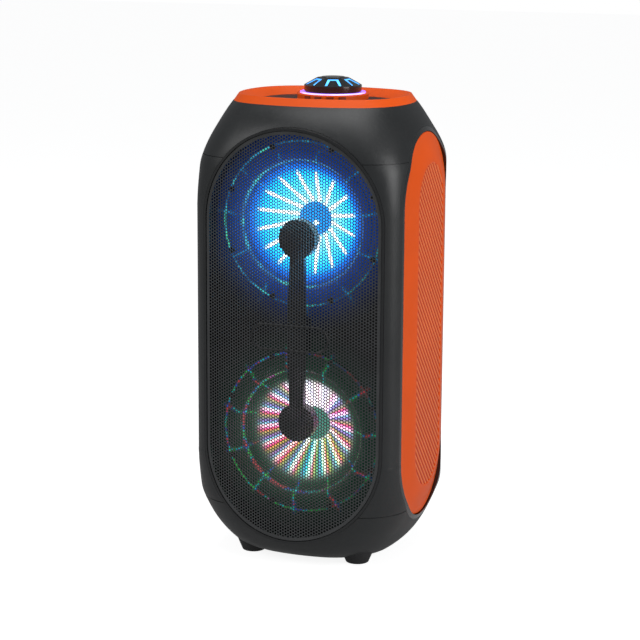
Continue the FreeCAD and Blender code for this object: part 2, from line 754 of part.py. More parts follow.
def front_baffle(cavity):
    side = half_width - panel_pocket - pocket_floor - baffle_side_gap
    slab = box((-side, baffle_y, underside_z + wall + baffle_low_gap),
               (side, baffle_y + baffle_thickness, deck_seat_z - deck_ledge - baffle_top_gap))
    board = slab.common(cavity)
    for z in (upper_woofer_z, lower_woofer_z):
        board = board.cut(rod(baffle_hole_radius, (0, baffle_y, z), (0, baffle_y + baffle_thickness, z)))
        for x, sz in screw_circle(z):
            board = board.cut(rod(screw_radius, (x, baffle_y, sz), (x, baffle_y + screw_length, sz)))
    return board


def woofer_screws():
    solids = []
    for z in (upper_woofer_z, lower_woofer_z):
        for x, sz in screw_circle(z):
            seat = baffle_y - flange_thickness
            shank = rod(screw_radius, (x, seat, sz), (x, seat + screw_length, sz))
            solids.append(shank.fuse(rod(screw_head_radius, (x, seat - screw_head_height, sz), (x, seat, sz))))
    return Part.makeCompound(solids)


def woofer_basket(z):
    rim_in = baffle_hole_radius - 1.0
    profile = [(basket_radius, -flange_thickness), (basket_radius, 0), (rim_in, 0), (basket_floor_radius + 8, 46),
               (basket_floor_radius + 6, spider_depth), (basket_floor_radius, basket_depth + 4),
               (plate_bore_radius, basket_depth + 4), (plate_bore_radius, basket_depth),
               (basket_floor_radius - basket_wall, basket_depth), (spider_outer - 3.3, spider_depth + 2),
               (spider_outer - 3.3, spider_depth + 0.6), (basket_floor_radius + 6 - basket_wall, spider_depth + 0.6),
               (basket_floor_radius + 8 - basket_wall, 46), (rim_in - basket_wall, 3), (rim_in - basket_wall, -flange_thickness)]
    basket = revolved(profile, z)
    window = box((basket_floor_radius - 8, baffle_y + 16, -12), (basket_radius, baffle_y + 44, 12))
    for angle in around(6, 30):
        opening = window.copy()
        opening.rotate(V(0, 0, 0), Y_AXIS, angle)
        opening.translate(V(0, 0, z))
        basket = basket.cut(opening)
    for x, sz in screw_circle(z):
        hole = rod(screw_radius + 0.1, (x, baffle_y - flange_thickness, sz), (x, baffle_y, sz))
        basket = basket.cut(hole)
    return basket


def woofer_cone(z):
    """Curved cone, joined to the coil former at its neck."""
    steps = 6
    outer, inner = [], []
    for i in range(steps + 1):
        t = i / steps
        r = cone_radius + (coil_radius + 0.6 - cone_radius) * t
        s = 2 + (cone_depth - 2) * (0.72 * t + 0.28 * t * t)
        outer.append((r, s))
        inner.append((r, s + cone_thickness))
    return revolved(outer + inner[::-1], z)


def woofer_surround(z):
    """Half-roll rubber edge from the basket rim to the cone; its inner lip lies deeper than the rest."""
    lip_r, outer_r = cone_radius - 4, surround_outer
    inner_foot, outer_foot = cone_radius + 2, surround_outer - 5
    centre = (inner_foot + outer_foot) / 2
    radius = (outer_foot - inner_foot) / 2
    seat = -flange_thickness
    top, under = [], []
    for i in range(9):
        angle = pi * i / 8
        top.append((centre + radius * cos(angle), seat - 1 - radius * 0.9 * sin(angle)))
        under.append((centre + (radius - 1.2) * cos(angle), seat - (radius - 1.2) * 0.9 * sin(angle)))
    cone_slope = 0.72 * (cone_depth - 2) / (cone_radius - coil_radius - 0.6)
    lip_s = 2 + cone_slope * 4
    profile = [(outer_r, seat), (outer_r, seat - 1)] + top + [(cone_radius, 0.6), (lip_r, lip_s - 1.4),
                                                            (lip_r, lip_s - 0.2), (cone_radius + 1, 1.4)]
    return revolved(profile + under[::-1], z)


def woofer_dust_cap(z):
    """Shallow dome glued over the neck of the cone."""
    rise = 8.0
    neck = dust_cap_radius
    t = (cone_radius - neck) / (cone_radius - coil_radius - 0.6)
    seat = 2 + (cone_depth - 2) * (0.72 * t + 0.28 * t * t)
    count = 8
    top, under = [], []
    for i in range(count + 1):
        u = i / count
        top.append((neck * u, seat - 0.4 - rise * (1 - u * u)))
        under.append((neck * u, seat + 0.4 - rise * (1 - u * u)))
    under[-1] = (neck, seat - 0.1)
    return revolved(top + under[::-1], z)


def woofer_voice_coil(z):
    top, end = cone_depth - 1.2, basket_depth + 10
    profile = [(coil_radius - coil_wall, top), (coil_radius, top), (coil_radius, end), (coil_radius - coil_wall, end)]
    return revolved(profile, z)


def woofer_spider(z):
    """Corrugated centring disc between coil former and basket shelf."""
    start, end = coil_radius, spider_outer
    count = 16
    top, under = [], []
    for i in range(count + 1):
        t = i / count
        wave = 1.2 * sin(4 * 2 * pi * t) * (1 if 0 < i < count - 2 else 0)
        top.append((start + (end - start) * t, spider_depth - 0.2 - wave))
        under.append((start + (end - start) * t, spider_depth + 0.6 - wave))
    return revolved(top + under[::-1], z)


def woofer_magnet(z):
    low = basket_depth + 4
    return revolved([(plate_bore_radius + 6, low), (magnet_radius, low), (magnet_radius, low + magnet_thickness),
                     (plate_bore_radius + 6, low + magnet_thickness)], z)


def woofer_yoke(z):
    back = basket_depth + 4 + magnet_thickness
    return revolved([(0, basket_depth), (pole_radius, basket_depth), (pole_radius, back), (magnet_radius - 4, back),
                     (magnet_radius - 4, back + yoke_thickness), (0, back + yoke_thickness)], z)


# ---------------------------------------------------------------- rear fittings
def jack_screw_places():
    dx, dz = jack_plate_width / 2 - 2, jack_plate_height / 2 - 2
    return [(sx * dx, jack_plate_z + sz * dz) for sx in (-1, 1) for sz in (-1, 1)]


def jack_holes():
    """Round sockets in the plate: x, z offset from the plate's middle, bore radius."""
    return [(-44.0, 14.0, 3.4), (-22.0, 14.0, 3.4), (0.0, 14.0, 5.2)]


def jack_plate():
    outer_y = half_depth - pad_depth
    plate = box((-jack_plate_width / 2, outer_y - jack_plate_thickness, jack_plate_z - jack_plate_height / 2),
                (jack_plate_width / 2, outer_y, jack_plate_z + jack_plate_height / 2))
    for x, dz, radius in jack_holes():
        z = jack_plate_z + dz
        plate = plate.cut(rod(radius + 2.0, (x, outer_y - 10, z), (x, outer_y + 1, z)))
    for x, z in jack_screw_places():
        plate = plate.cut(rod(small_screw_radius, (x, outer_y - 10, z), (x, outer_y + 1, z)))
    hole = box((rocker_x - rocker_width / 2 - 2, outer_y - 20, jack_plate_z + 4 - rocker_height / 2 - 2),
               (rocker_x + rocker_width / 2 + 2, outer_y + 1, jack_plate_z + 4 + rocker_height / 2 + 2))
    inlet = box((-22, outer_y - 20, jack_plate_z - 26), (4, outer_y + 1, jack_plate_z - 8))
    usb = box((-50, outer_y - 20, jack_plate_z - 22), (-35, outer_y + 1, jack_plate_z - 12))
    plate = plate.cut(hole).cut(inlet).cut(usb)
    for sx in (-1, 1):
        for sz in (-1, 1):
            x = sx * (amp_board_size[0] / 2 - 3)
            z = jack_plate_z + sz * (jack_plate_height / 2 - 8)
            plate = plate.fuse(rod(2.5, (x, amp_board_y(), z), (x, outer_y - 1, z)))
    return plate


def jack_screws():
    inner_y = half_depth - pad_depth - jack_plate_thickness
    return [small_screw(x, inner_y, z, Y_AXIS) for x, z in jack_screw_places()]


def audio_jacks():
    """Three jack barrels: two small auxiliary sockets and one microphone socket."""
    solids = []
    outer_y = half_depth - pad_depth
    for x, dz, radius in jack_holes():
        z = jack_plate_z + dz
        barrel = rod(radius + 2.0, (x, outer_y - 14, z), (x, outer_y + 1.5, z))
        solids.append(barrel.cut(rod(radius - 0.9, (x, outer_y - 11, z), (x, outer_y + 2, z))))
    return Part.makeCompound(solids)


def power_inlet():
    """Figure-eight style inlet shroud with its two pins."""
    outer_y = half_depth - pad_depth
    body = box((-22, outer_y - 18, jack_plate_z - 26), (4, outer_y + 1.0, jack_plate_z - 8))
    well = pill(18.5, 9.6, outer_y - 14, outer_y + 2, jack_plate_z - 17)
    well.translate(V(-9, 0, 0))
    body = body.cut(well)
    for x in (-13.3, -4.7):
        body = body.fuse(rod(1.2, (x, outer_y - 14.5, jack_plate_z - 17), (x, outer_y - 3, jack_plate_z - 17)))
    return body


def usb_socket():
    outer_y = half_depth - pad_depth
    shell = box((-50, outer_y - 14, jack_plate_z - 22), (-35, outer_y + 0.6, jack_plate_z - 12))
    mouth = box((-49.3, outer_y - 12, jack_plate_z - 20.2), (-35.7, outer_y + 1, jack_plate_z - 13.8))
    return shell.cut(mouth)


def rocker_pieces():
    """Power switch: a housing with a pivot pin through the rocker."""
    outer_y = half_depth - pad_depth
    z = jack_plate_z + 4
    half_w, half_h = rocker_width / 2, rocker_height / 2
    housing = box((rocker_x - half_w - 2, outer_y - 16, z - half_h - 2), (rocker_x + half_w + 2, outer_y + 1.2, z + half_h + 2))
    housing = housing.cut(box((rocker_x - half_w - 0.4, outer_y - 13, z - half_h - 0.4),
                              (rocker_x + half_w + 0.4, outer_y + 2, z + half_h + 0.4)))
    pin = rod(1.2, (rocker_x - half_w - 1, outer_y - 5, z), (rocker_x + half_w + 1, outer_y - 5, z))
    blank = rod(half_h - 0.5, (rocker_x - half_w, outer_y - 5, z), (rocker_x + half_w, outer_y - 5, z))
    hollow = rod(25.0, (rocker_x - half_w - 1, outer_y + 23.6, z), (rocker_x + half_w + 1, outer_y + 23.6, z))
    front = box((rocker_x - half_w, outer_y - 9, z - half_h), (rocker_x + half_w, outer_y + 6, z + half_h))
    rocker = blank.common(front).cut(hollow).cut(rod(1.2 + running_fit, (rocker_x - half_w - 1, outer_y - 5, z),
                                                     (rocker_x + half_w + 1, outer_y - 5, z)))
    return housing.fuse(pin), rocker


def bass_port():
    outer_y = half_depth - 0.6
    tube = rod(port_radius + port_wall, (0, outer_y - port_length, port_z), (0, outer_y - 1, port_z))
    lip = rod(port_radius + port_lip, (0, half_depth - 2.2, port_z), (0, outer_y, port_z))
    body = tube.fuse(lip)
    return body.cut(rod(port_radius, (0, outer_y - port_length - 1, port_z), (0, outer_y + 1, port_z)))


def rear_grip():
    """Hand-grip cup let into the rear shell: a box open to the rear with a flange inside the shell."""
    w, h = grip_width / 2, grip_height / 2
    back = half_depth - wall - 2.0
    cup = box((-w + 0.3, back - grip_depth, grip_z - h + 0.3), (w - 0.3, half_depth - 1.4, grip_z + h - 0.3))
    cup = cup.cut(box((-w + grip_wall, back - grip_depth + grip_wall, grip_z - h + grip_wall),
                      (w - grip_wall, half_depth + 1, grip_z + h - grip_wall)))
    return cup


# ---------------------------------------------------------------- base and insides
def feet(outer):
    solids = []
    for sx in (-1, 1):
        for sy in (-1, 1):
            x, y = sx * foot_x, sy * foot_y
            foot = Part.makeCone(foot_radius, foot_top_radius, foot_reach, V(x, y, 0))
            rim = [e for e in foot.Edges if e.BoundBox.ZMax < 0.01]
            solids.append(foot.makeFillet(1.5, rim).cut(outer).cut(rod(screw_head_radius + 0.2, (x, y, 0), (x, y, 4))))
    return Part.makeCompound(solids)


def battery_pack():
    length, width, height = battery_size
    floor = underside_z + wall
    return box((-length / 2, battery_y - width / 2, floor), (length / 2, battery_y + width / 2, floor + height))


def battery_bracket():
    length, _, height = battery_size
    floor = underside_z + wall
    y_low, y_high = battery_y - bracket_width / 2, battery_y + bracket_width / 2
    over = box((-length / 2 - bracket_thickness, y_low, floor),
               (length / 2 + bracket_thickness, y_high, floor + height + bracket_thickness))
    return over.cut(box((-length / 2, y_low, floor), (length / 2, y_high, floor + height)))


def amp_board_y():
    """Rear face of the amplifier board, where the jack plate's moulded posts end."""
    return half_depth - pad_depth - amp_board_gap


def amplifier_board():
    length, thickness, height = amp_board_size
    y = amp_board_y()
    return box((-length / 2, y - thickness, jack_plate_z - height / 2), (length / 2, y, jack_plate_z + height / 2))


def heat_sink():
    length, depth, height = heat_sink_size
    y = amp_board_y() - amp_board_size[1]
    base = box((-length / 2, y - 4, jack_plate_z - height / 2), (length / 2, y, jack_plate_z + height / 2))
    fins = 9
    pitch = (length - 2) / (fins - 1)
    for i in range(fins):
        x = -length / 2 + i * pitch
        base = base.fuse(box((x, y - depth, jack_plate_z - height / 2), (x + 2, y, jack_plate_z + height / 2)))
    return base


# ---------------------------------------------------------------- assembly
def main():
    os.makedirs("parts", exist_ok=True)
    outer, cavity, casings = cabinet_shells()
    for name, shape in casings.items():
        write(name, shape)
    for name, side, rim in zip(("right", "left"), (1, -1), panel_rims(outer)):
        write("%s_side_panel" % name, side_panel(side))
        write("%s_panel_rim" % name, rim)
    write("shell_screws", shell_screws())
    write("top_trim_ring", top_trim_ring())
    write("control_deck", control_deck())
    write("control_board", control_board())
    write("small_screws", Part.makeCompound(board_screws() + jack_screws()))
    write("knob_pedestal", knob_pedestal())
    write("knob_light_ring", knob_light_ring())
    for name, shape in zip(("source_key", "previous_key", "next_key", "light_key"), pedestal_keys()):
        write(name, shape)
    for name, shape in zip(("volume_knob", "knob_cap", "knob_light_guide"), knob_pieces()):
        write(name, shape)
    for name, shape in zip(("encoder_housing", "encoder_shaft"), encoder_pieces()):
        write(name, shape)
    write("front_grille", front_grille())
    write("grille_frame", grille_frame())
    write("light_bridge", light_bridge())
    write("front_baffle", front_baffle(cavity))
    write("woofer_screws", woofer_screws())
    write("led_boards", Part.makeCompound([led_board(upper_pod_z), led_board(lower_pod_z)]))
    write("led_lenses", Part.makeCompound([led_lens(upper_pod_z), led_lens(lower_pod_z)]))
    for name, woofer_z in (("upper", upper_woofer_z), ("lower", lower_woofer_z)):
        write("%s_basket" % name, woofer_basket(woofer_z))
        write("%s_cone" % name, woofer_cone(woofer_z))
        write("%s_surround" % name, woofer_surround(woofer_z))
        write("%s_dust_cap" % name, woofer_dust_cap(woofer_z))
        write("%s_voice_coil" % name, woofer_voice_coil(woofer_z))
        write("%s_spider" % name, woofer_spider(woofer_z))
        write("%s_magnet" % name, woofer_magnet(woofer_z))
        write("%s_yoke" % name, woofer_yoke(woofer_z))
    write("jack_plate", jack_plate())
    write("audio_jacks", audio_jacks())
    write("power_inlet", power_inlet())
    write("usb_socket", usb_socket())
    for name, shape in zip(("rocker_housing", "power_rocker"), rocker_pieces()):
        write(name, shape)
    write("bass_port", bass_port())
    write("rear_grip", rear_grip())
    write("feet", feet(outer))
    write("battery_pack", battery_pack())
    write("battery_bracket", battery_bracket())
    write("amplifier_board", amplifier_board())
    write("heat_sink", heat_sink())


main()
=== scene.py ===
from collections import namedtuple
from math import cos, pi, radians, sin, sqrt
import bpy
import bmesh
from mathutils import Matrix, Vector


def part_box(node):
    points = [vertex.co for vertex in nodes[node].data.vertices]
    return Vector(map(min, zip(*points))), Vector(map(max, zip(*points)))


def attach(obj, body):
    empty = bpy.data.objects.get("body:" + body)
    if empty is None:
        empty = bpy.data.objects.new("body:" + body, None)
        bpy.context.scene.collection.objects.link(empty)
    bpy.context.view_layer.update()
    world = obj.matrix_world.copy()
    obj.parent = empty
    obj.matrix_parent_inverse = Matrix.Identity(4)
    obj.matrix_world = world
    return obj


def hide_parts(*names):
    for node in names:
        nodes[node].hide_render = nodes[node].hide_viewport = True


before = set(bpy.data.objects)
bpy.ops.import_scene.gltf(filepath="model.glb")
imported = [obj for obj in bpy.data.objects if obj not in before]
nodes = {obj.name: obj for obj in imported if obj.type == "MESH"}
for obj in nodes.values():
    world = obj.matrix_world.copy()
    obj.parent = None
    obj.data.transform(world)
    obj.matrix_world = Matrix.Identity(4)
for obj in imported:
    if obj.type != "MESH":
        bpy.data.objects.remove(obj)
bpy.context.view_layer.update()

# A rounded party speaker: black cabinet, orange side panels and top ring, two lit woofers behind a steel grille.
# Metres throughout.  The cabinet, woofers, knob and rear fittings keep their solid-model shapes and get finishes
# here; the perforated grille and the ribbed side panels are modelled here.

MM = 0.001

# ---------------------------------------------------------------- sizes of what is modelled here
hole_pitch = 3.83 * MM            # between hole centres, up the grille
hole_share = 0.72                 # hole size as a share of its cell
grille_bow = 500 * MM
sheet_thickness = 0.9 * MM
sheet_set_back = 0.8 * MM         # from the front of the grille's box to its sheet
border_width = 4.2 * MM           # plain band round the holes
border_overlap = 0.55             # share of the band's width that the perforated sheet stays short of its edge
grid_spare = 20 * MM              # by which the grid of holes is larger than the sheet
weld_distance = 0.01 * MM
badge_size = (100 * MM, 33 * MM)
badge_line = 2.4 * MM
badge_lift = 2.0 * MM
rib_pitch = 6.5 * MM
rib_tilt = radians(46.0)
rib_depth = 1.2 * MM
rib_step = 2.6 * MM               # between grid points along a rib
rib_rows = 4.0                    # grid rows to one rib and its valley
rib_middle = 0.45                 # middle and half width of a rib's crest, as shares of the pitch
rib_half_share = 0.26
phase_shift = 1000.0625           # whole turns keep the phase positive; the rest keeps grid rows off rib edges
field_half_width = 50 * MM
field_sink = 1.5 * MM             # valleys of the ribs below the panel's face
field_clearance = 1.2 * MM        # between the ribs and the lip round them
panel_edge_drop = 8.2 * MM        # from the panel's face back to the end of its edge
panel_edge_round = 1.6 * MM
chamfer_steps = 12

# Light on the woofers: distances in mm from a woofer's axis.  A pair of numbers is where a soft edge starts and ends.
spoke_count = 16
spoke_start, spoke_end = (20.0, 23.0), (66.0, 56.0)
spoke_edge = (2.9, 0.9)
ring_radii = {"Inner Ring": 77.0, "Outer Ring": 100.0}
ring_edge = (1.7, 0.5)
streak_count = 11
streak_sharpness = 14.0
streak_start = (58.0, 74.0)
glow_reach = 150.0
rainbow_start, rainbow_end = (20.0, 24.0), (66.0, 54.0)

WHITE = (1.0, 1.0, 1.0, 1.0)
BLACK = (0.0, 0.0, 0.0, 1.0)
DUST = (0.34, 0.33, 0.31, 1.0)
COLOUR_MIX_SOCKETS = (0, 6, 7)    # factor, A and B of a colour mix, whose socket names repeat


# ---------------------------------------------------------------- building node trees
class Tree:
    """Adds nodes to a tree, with each input given as a value or as the socket that feeds it."""

    def __init__(self, tree):
        self.tree = tree

    def put(self, socket, value):
        if isinstance(value, bpy.types.NodeSocket):
            self.tree.links.new(value, socket)
        else:
            socket.default_value = value

    def add(self, kind, inputs=None, **settings):
        node = self.tree.nodes.new(kind)
        for key, value in settings.items():
            setattr(node, key, value)
        for key, value in (inputs or {}).items():
            self.put(node.inputs[key], value)
        return node

    def calc(self, operation, a, b=0.0):
        return self.add("ShaderNodeMath", {0: a, 1: b}, operation=operation).outputs[0]

    def plus(self, a, b):
        return self.calc("ADD", a, b)

    def minus(self, a, b):
        return self.calc("SUBTRACT", a, b)

    def times(self, a, b):
        return self.calc("MULTIPLY", a, b)

    def over(self, a, b):
        return self.calc("DIVIDE", a, b)

    def length(self, a, b):
        """Square root of the sum of two squares."""
        return self.calc("SQRT", self.plus(self.times(a, a), self.times(b, b)))

    def split(self, vector):
        return self.add("ShaderNodeSeparateXYZ", {0: vector}).outputs

    def join(self, x, y, z):
        return self.add("ShaderNodeCombineXYZ", {0: x, 1: y, 2: z}).outputs[0]

    def place(self):
        """Object coordinates of the point being shaded."""
        return self.add("ShaderNodeTexCoord").outputs["Object"]

    def normal(self):
        return self.split(self.add("ShaderNodeNewGeometry").outputs["Normal"])

    def noise(self, scale, detail, **more):
        """Noise over the object coordinates."""
        return self.add("ShaderNodeTexNoise", {"Vector": self.place(), "Scale": scale, "Detail": detail,
                                               **more}).outputs["Fac"]

    def use(self, group, inputs):
        """Outputs of a shader group given these inputs."""
        return self.add("ShaderNodeGroup", inputs, node_tree=group).outputs

    def band(self, value, low, high, rise=0.0, top=1.0):
        """Soft step from rise, where the value is at low, to top, where it is at high."""
        return self.add("ShaderNodeMapRange", {"Value": value, "From Min": low, "From Max": high,
                                               "To Min": rise, "To Max": top},
                        interpolation_type="SMOOTHSTEP").outputs["Result"]

    def mix(self, share, a, b, blend="MIX"):
        node = self.add("ShaderNodeMix", data_type="RGBA", blend_type=blend)
        for socket, value in zip(COLOUR_MIX_SOCKETS, (share, a, b)):
            self.put(node.inputs[socket], value)
        return node.outputs[2]

    def ramp(self, value, stops, interpolation="LINEAR"):
        node = self.add("ShaderNodeValToRGB", {0: value})
        node.color_ramp.interpolation = interpolation
        elements = node.color_ramp.elements
        for _ in range(len(stops) - 2):
            elements.new(0.5)
        for element, stop in zip(elements, stops):
            element.position = stop[0]
        for element, stop in zip(elements, stops):
            element.color = (*stop[1], 1.0)
        return node.outputs["Color"]


def shader_group(name, inputs, outputs):
    """Empty shader group of float sockets; returns the group, a builder, its inputs and its output sockets."""
    group = bpy.data.node_groups.new(name, "ShaderNodeTree")
    for label, value in inputs:
        group.interface.new_socket(label, in_out="INPUT", socket_type="NodeSocketFloat").default_value = value
    for label in outputs:
        group.interface.new_socket(label, in_out="OUTPUT", socket_type="NodeSocketFloat")
    tree = Tree(group)
    return group, tree, tree.add("NodeGroupInput").outputs, tree.add("NodeGroupOutput").inputs


def make_grain_group():
    """Fine moulded or cast texture: a height for bump, and slow patches for colour and roughness."""
    group, tree, given, out = shader_group("surface_grain", [("Grain Scale", 900.0), ("Patch Scale", 14.0)],
                                           ["Height", "Patches"])
    tree.put(out["Height"], tree.noise(given["Grain Scale"], 2.0))
    tree.put(out["Patches"], tree.band(tree.noise(given["Patch Scale"], 3.0), 0.3, 0.7))
    return group


def make_dust_group():
    """Light dust that settles on faces that look upwards, in soft patches."""
    group, tree, given, out = shader_group("settled_dust", [("Amount", 0.1)], ["Mask"])
    specks = tree.band(tree.noise(260.0, 4.0, Roughness=0.7), 0.45, 0.8)
    upwards = tree.band(tree.normal()["Z"], 0.2, 1.0, 0.15, 1.0)
    tree.put(out["Mask"], tree.times(tree.times(specks, upwards), given["Amount"]))
    return group


def make_polar_group():
    """Distance and direction from a woofer's axis, and the spokes and rings of light that lie on them."""
    group, tree, given, out = shader_group(
        "woofer_polar", [("Centre Z", 0.42), ("First Spoke", 0.1)],
        ["Radius", "Turn", "Across Spoke", "Spoke", "Inner Ring", "Outer Ring", "Streak"])
    place = tree.split(tree.place())
    across = tree.times(place["X"], 1 / MM)
    up = tree.times(tree.minus(place["Z"], given["Centre Z"]), 1 / MM)
    radius = tree.length(across, up)
    angle = tree.calc("ARCTAN2", up, across)
    turned = tree.minus(angle, given["First Spoke"])
    tree.put(out["Radius"], radius)
    tree.put(out["Turn"], tree.plus(tree.over(angle, 2 * pi), 0.5))
    tree.put(out["Across Spoke"], tree.calc("FRACT", tree.plus(tree.over(turned, 2 * pi / spoke_count),
                                                               spoke_count + 0.5)))

    def wave(count):
        """Zero on each of a number of evenly spaced directions, and one between them."""
        return tree.calc("ABSOLUTE", tree.calc("SINE", tree.times(turned, count / 2)))

    distance = tree.over(tree.times(radius, wave(spoke_count)), spoke_count / 2)
    length = tree.times(tree.band(radius, *spoke_start), tree.band(radius, *spoke_end))
    tree.put(out["Spoke"], tree.times(tree.band(distance, *spoke_edge), length))
    left = tree.band(across, 60.0, -60.0, 0.25, 1.0)
    for label, ring in ring_radii.items():
        near = tree.calc("ABSOLUTE", tree.minus(radius, ring))
        tree.put(out[label], tree.times(tree.band(near, *ring_edge), left))
    ray = tree.calc("POWER", tree.minus(1.0, wave(streak_count)), streak_sharpness)
    tree.put(out["Streak"], tree.times(ray, tree.band(radius, *streak_start)))
    return group


grain_group = make_grain_group()
dust_group = make_dust_group()
polar_group = make_polar_group()


Finish = namedtuple("Finish", "material tree shader tone bump")


def make_finish(name, colour, roughness, metallic=0.0, grain=(900.0, 0.00004), patches=(14.0, 0.10), dust=0.08,
                coat=0.0, specular=0.5):
    """Solid finish with fine grain bump, slow tone patches and settled dust.

    grain is a scale and a bump height; patches is a scale and the strength of the change in tone.
    """
    material = bpy.data.materials.new(name)
    material.use_nodes = True
    material.node_tree.nodes.clear()
    tree = Tree(material.node_tree)
    shader = tree.add("ShaderNodeBsdfPrincipled", {"Metallic": metallic, "Coat Weight": coat,
                                                   "Coat Roughness": 0.1, "Specular IOR Level": specular})
    tree.put(tree.add("ShaderNodeOutputMaterial").inputs["Surface"], shader.outputs["BSDF"])
    texture = tree.use(grain_group, {"Grain Scale": grain[0], "Patch Scale": patches[0]})
    dusty = tree.use(dust_group, {"Amount": dust})["Mask"]
    dark = [c * (1 - patches[1]) for c in colour] + [1.0]
    light = [min(c * (1 + patches[1]), 1.0) for c in colour] + [1.0]
    tone = tree.mix(dusty, tree.mix(texture["Patches"], dark, light), DUST)
    tree.put(shader.inputs["Base Color"], tone)
    rough = tree.plus(tree.times(texture["Patches"], patches[1]), roughness - patches[1] / 2)
    tree.put(shader.inputs["Roughness"], tree.plus(rough, tree.times(dusty, 0.4)))
    bump = tree.add("ShaderNodeBump", {"Height": texture["Height"], "Strength": 1.0, "Distance": grain[1]})
    tree.put(shader.inputs["Normal"], bump.outputs["Normal"])
    return Finish(material, tree, shader, tone, bump)


def finish_material(name, colour, roughness, **more):
    return make_finish(name, colour, roughness, **more).material


def lit(tree, shader, colour, strength):
    tree.put(shader.inputs["Emission Color"], colour)
    shader.inputs["Emission Strength"].default_value = strength


# ---------------------------------------------------------------- light that the pods throw on the woofers
def blue_glow(tree, centre_z):
    """Azure hub, white-hot spokes on cyan, and a deep blue falloff with two broken rings."""
    polar = tree.use(polar_group, {"Centre Z": centre_z, "First Spoke": 0.19})
    radius = polar["Radius"]
    base = tree.ramp(tree.over(radius, glow_reach), [
        (0.0, (0.0, 0.16, 0.55)), (0.135, (0.0, 0.15, 0.52)), (0.155, (0.20, 0.80, 1.0)),
        (0.30, (0.04, 0.60, 1.0)), (0.39, (0.0, 0.36, 0.95)), (0.45, (0.0, 0.09, 0.50)),
        (0.51, (0.0, 0.020, 0.15)), (0.66, (0.0, 0.008, 0.055)), (0.80, (0.0, 0.002, 0.014)),
        (0.90, (0.0, 0.0, 0.0))])
    patch = tree.noise(42.0, 2.0)
    broken = tree.band(patch, 0.38, 0.62)
    glow = tree.mix(polar["Spoke"], base, WHITE)
    rings = tree.times(tree.calc("MAXIMUM", polar["Inner Ring"], polar["Outer Ring"]),
                       tree.band(broken, 0.0, 1.0, 0.25, 1.0))
    ring_tone = tree.ramp(patch, [(0.0, (0.02, 0.25, 1.0)), (0.5, (0.05, 0.6, 1.0)), (0.62, (0.1, 0.9, 0.5))])
    glow = tree.mix(tree.times(rings, 0.32), glow, ring_tone)
    streak = tree.times(tree.times(polar["Streak"], broken), tree.band(radius, 118.0, 96.0))
    glow = tree.mix(tree.times(streak, 0.2), glow, (0.03, 0.55, 1.0, 1.0))
    sparkle = tree.add("ShaderNodeVectorMath", {0: tree.place(), 1: (0.003, -0.038, centre_z - 0.004)},
                       operation="DISTANCE").outputs["Value"]
    glow = tree.mix(tree.band(sparkle, 0.0045, 0.0015), glow, (0.8, 1.0, 1.0, 1.0))
    return tree.mix(tree.band(radius, glow_reach, 95.0), BLACK, glow)


def mixed_glow(tree, centre_z):
    """Dim green hub, spokes of many colours that run to white above, and green light with broken rings outside."""
    polar = tree.use(polar_group, {"Centre Z": centre_z, "First Spoke": 0.05})
    radius, turn = polar["Radius"], polar["Turn"]
    base = tree.ramp(tree.over(radius, glow_reach), [
        (0.0, (0.015, 0.09, 0.07)), (0.135, (0.02, 0.10, 0.07)), (0.155, (0.30, 0.30, 0.34)),
        (0.34, (0.20, 0.18, 0.22)), (0.40, (0.04, 0.07, 0.05)), (0.46, (0.002, 0.018, 0.008)),
        (0.60, (0.0005, 0.007, 0.0035)), (0.75, (0.0, 0.002, 0.0012)), (0.88, (0.0, 0.0, 0.0))])
    across = tree.ramp(polar["Across Spoke"], [
        (0.0, (0.01, 0.22, 0.06)), (0.18, (0.04, 0.12, 0.55)), (0.34, (0.0, 0.75, 0.85)), (0.46, (1.0, 1.0, 1.0)),
        (0.60, (1.0, 0.12, 0.62)), (0.74, (0.85, 0.05, 0.06)), (0.86, (0.35, 0.45, 0.03)),
        (1.0, (0.01, 0.22, 0.06))])
    sector = tree.ramp(turn, [
        (0.0, (0.80, 0.06, 0.30)), (0.12, (1.0, 0.10, 0.06)), (0.25, (0.04, 0.85, 0.55)),
        (0.38, (0.75, 0.80, 0.12)), (0.5, (1.0, 0.10, 0.55)), (0.62, (0.9, 0.20, 1.0)), (0.70, (1.0, 0.85, 1.0)),
        (0.80, (1.0, 0.90, 1.0)), (0.90, (0.85, 0.35, 0.65)), (1.0, (0.80, 0.06, 0.30))])
    rainbow = tree.mix(0.45, tree.mix(0.25, across, sector), (0.0, 0.02, 0.02, 1.0))
    rainbow = tree.mix(polar["Spoke"], rainbow, tree.mix(0.35, sector, WHITE))
    upper = tree.times(tree.band(turn, 0.60, 0.68), tree.band(turn, 0.86, 0.78))
    rainbow = tree.mix(tree.times(upper, 0.55), rainbow, (1.0, 0.86, 1.0, 1.0))
    length = tree.times(tree.band(radius, *rainbow_start), tree.band(radius, *rainbow_end))
    glow = tree.mix(length, base, rainbow)
    hues = tree.ramp(tree.noise(60.0, 2.0), [
        (0.30, (0.9, 0.05, 0.1)), (0.42, (0.05, 0.1, 0.9)), (0.48, (0.0, 0.8, 0.8)), (0.55, (0.05, 0.75, 0.12)),
        (0.66, (0.8, 0.1, 0.7))], "CONSTANT")
    rings = tree.calc("MAXIMUM", polar["Inner Ring"], polar["Outer Ring"])
    glow = tree.mix(tree.times(rings, 0.16), glow, hues)
    streak = tree.times(polar["Streak"], tree.band(radius, 112.0, 92.0))
    return tree.mix(tree.times(streak, 0.2), glow, hues)


def add_glows(finish, glows, strength):
    """Material of a finish with the light of one or both pods on the faces that look forwards."""
    tree = finish.tree
    colour = None
    for glow, centre_z in glows:
        light = glow(tree, centre_z)
        colour = light if colour is None else tree.mix(1.0, colour, light, "ADD")
    forward = tree.band(tree.normal()["Y"], -0.05, -0.35)
    lit(tree, finish.shader, tree.mix(forward, BLACK, colour), strength)
    finish.material.cycles.emission_sampling = "NONE"
    return finish.material


